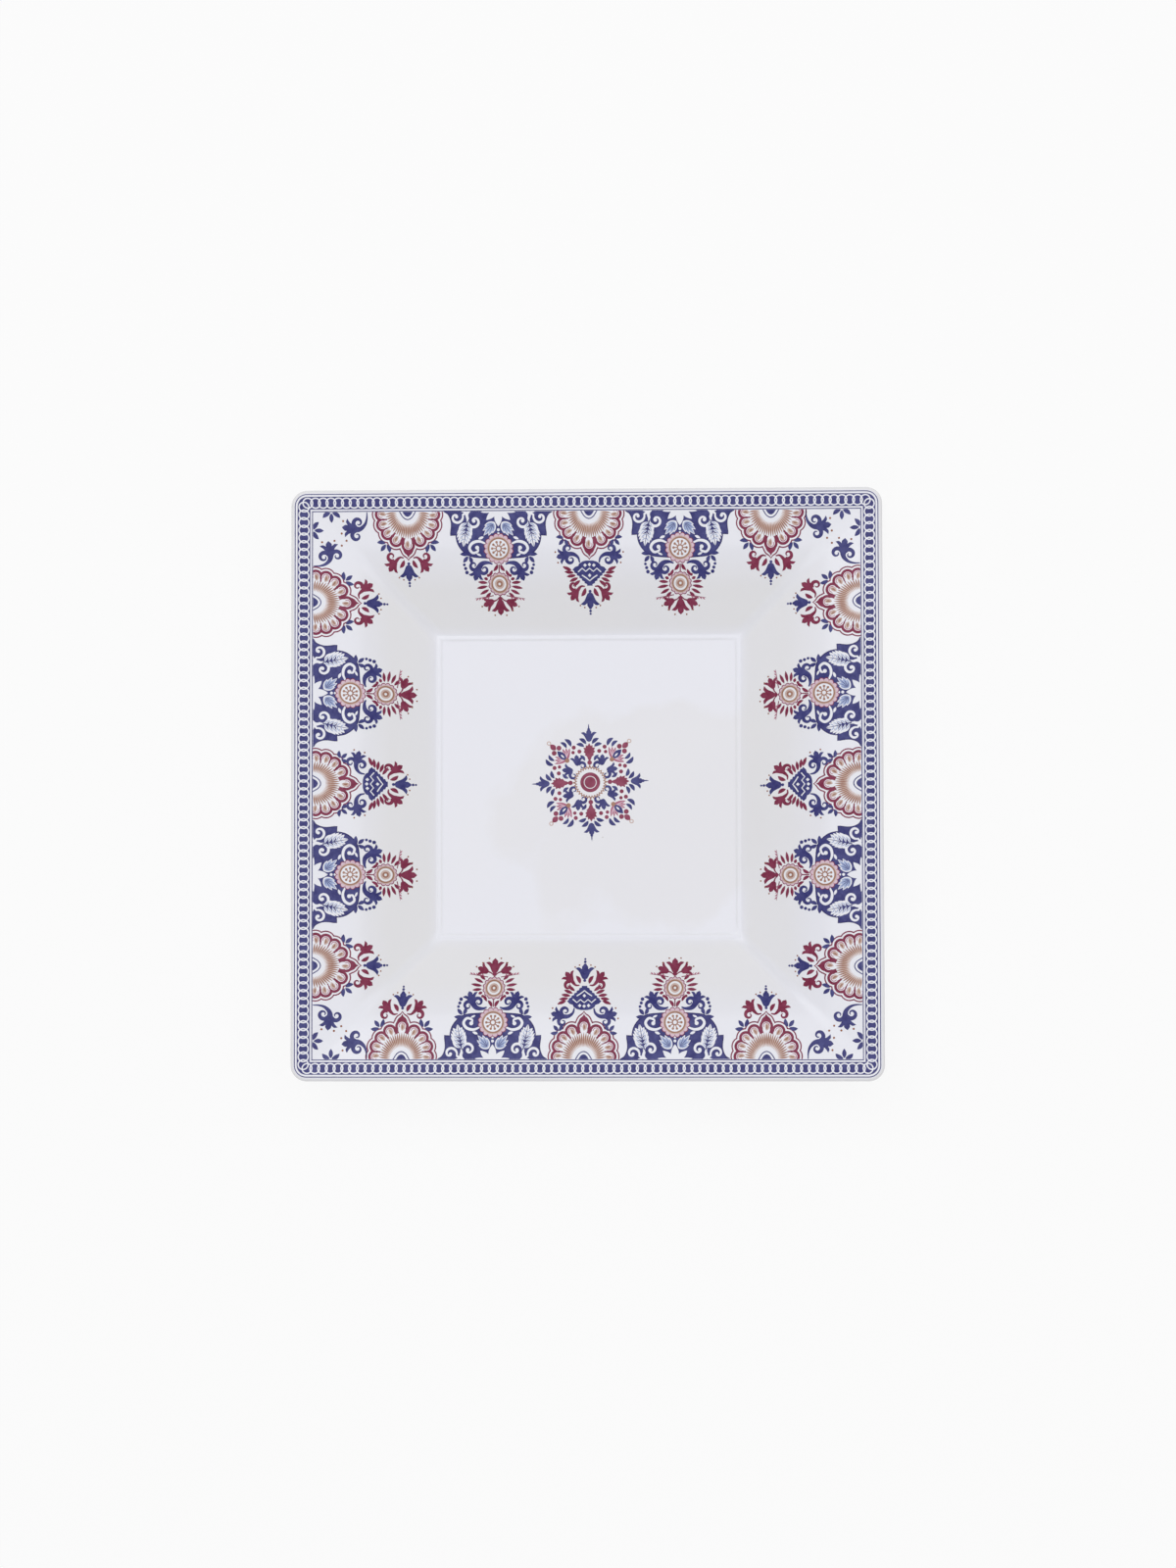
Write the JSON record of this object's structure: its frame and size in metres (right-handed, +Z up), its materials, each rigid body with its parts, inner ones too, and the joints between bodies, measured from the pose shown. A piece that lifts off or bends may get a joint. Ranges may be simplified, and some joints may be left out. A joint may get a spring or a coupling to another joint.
{
  "type": "square candy tray",
  "caption": "Square porcelain candy tray with a sloped rim, a flat well, a foot ring and a fired-on blue and burgundy lambrequin border.",
  "frame": {"origin": "under the middle of the tray, on the plane that the foot ring stands on", "axes": "+Z up through the middle of the well, +X and +Y square to the sides"},
  "size_m": [0.2, 0.2, 0.0301],
  "materials": {
    "porcelain": "clear gloss glaze over white porcelain",
    "blue_enamel": "fired blue transfer, glossy",
    "burgundy_enamel": "fired burgundy transfer, glossy"
  },
  "bodies": {
    "root": {"tray_body": "porcelain", "outer_line": "blue_enamel", "chain_band": "blue_enamel", "inner_line": "blue_enamel", "lambrequin_1": "blue_enamel", "lambrequin_2": "blue_enamel", "lambrequin_3": "blue_enamel", "lambrequin_4": "blue_enamel", "lambrequin_5": "blue_enamel", "lambrequin_6": "blue_enamel", "lambrequin_7": "blue_enamel", "lambrequin_8": "blue_enamel", "tulip_1": "blue_enamel", "tulip_2": "blue_enamel", "tulip_3": "blue_enamel", "tulip_4": "blue_enamel", "tulip_5": "blue_enamel", "tulip_6": "blue_enamel", "tulip_7": "blue_enamel", "tulip_8": "blue_enamel", "sprig_1": "blue_enamel", "sprig_2": "blue_enamel", "sprig_3": "blue_enamel", "sprig_4": "blue_enamel", "sprig_5": "blue_enamel", "sprig_6": "blue_enamel", "sprig_7": "blue_enamel", "sprig_8": "blue_enamel", "corner_palmette_1": "burgundy_enamel", "corner_palmette_2": "burgundy_enamel", "corner_palmette_3": "burgundy_enamel", "corner_palmette_4": "burgundy_enamel", "corner_palmette_5": "burgundy_enamel", "corner_palmette_6": "burgundy_enamel", "corner_palmette_7": "burgundy_enamel", "corner_palmette_8": "burgundy_enamel", "middle_palmette_1": "burgundy_enamel", "middle_palmette_2": "burgundy_enamel", "middle_palmette_3": "burgundy_enamel", "middle_palmette_4": "burgundy_enamel", "medallion": "burgundy_enamel"}
  },
  "joints": []
}
